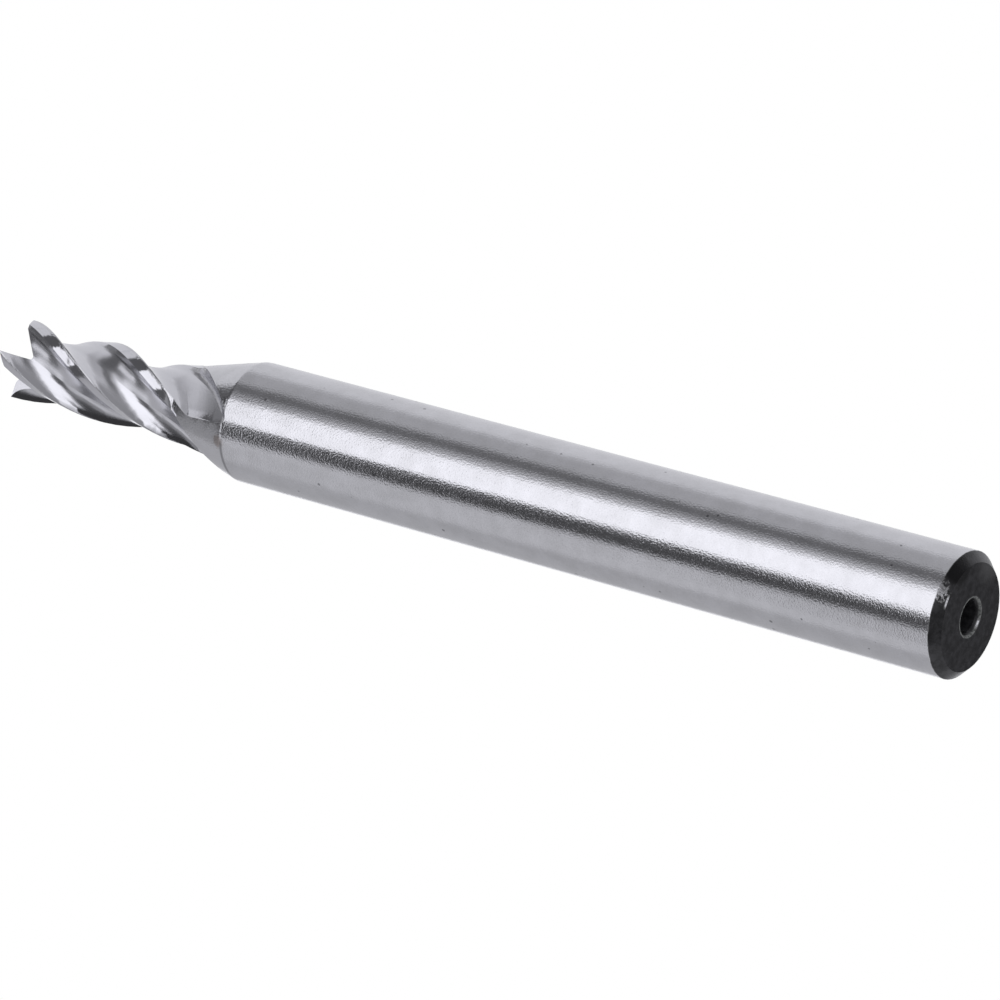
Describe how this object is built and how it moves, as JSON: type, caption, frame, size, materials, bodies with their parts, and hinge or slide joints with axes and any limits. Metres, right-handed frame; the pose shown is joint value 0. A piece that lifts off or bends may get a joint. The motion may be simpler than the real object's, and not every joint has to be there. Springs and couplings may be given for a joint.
{
  "type": "end mill",
  "caption": "Solid end mill with a right-hand helix, square end teeth and a plain round shank thicker than its cutting end.",
  "frame": {"origin": "centre of the shank's end face, on the tool's axis", "axes": "+Z along the tool's axis from the shank end to the cutting end, +X through the first tooth's cutting corner at the tip"},
  "size_m": [0.006, 0.006, 0.055],
  "materials": {
    "steel": "ground high-speed steel, polished in the flutes, with black scale left on the end of the shank"
  },
  "bodies": {
    "root": {"end_mill": "steel"}
  },
  "joints": []
}
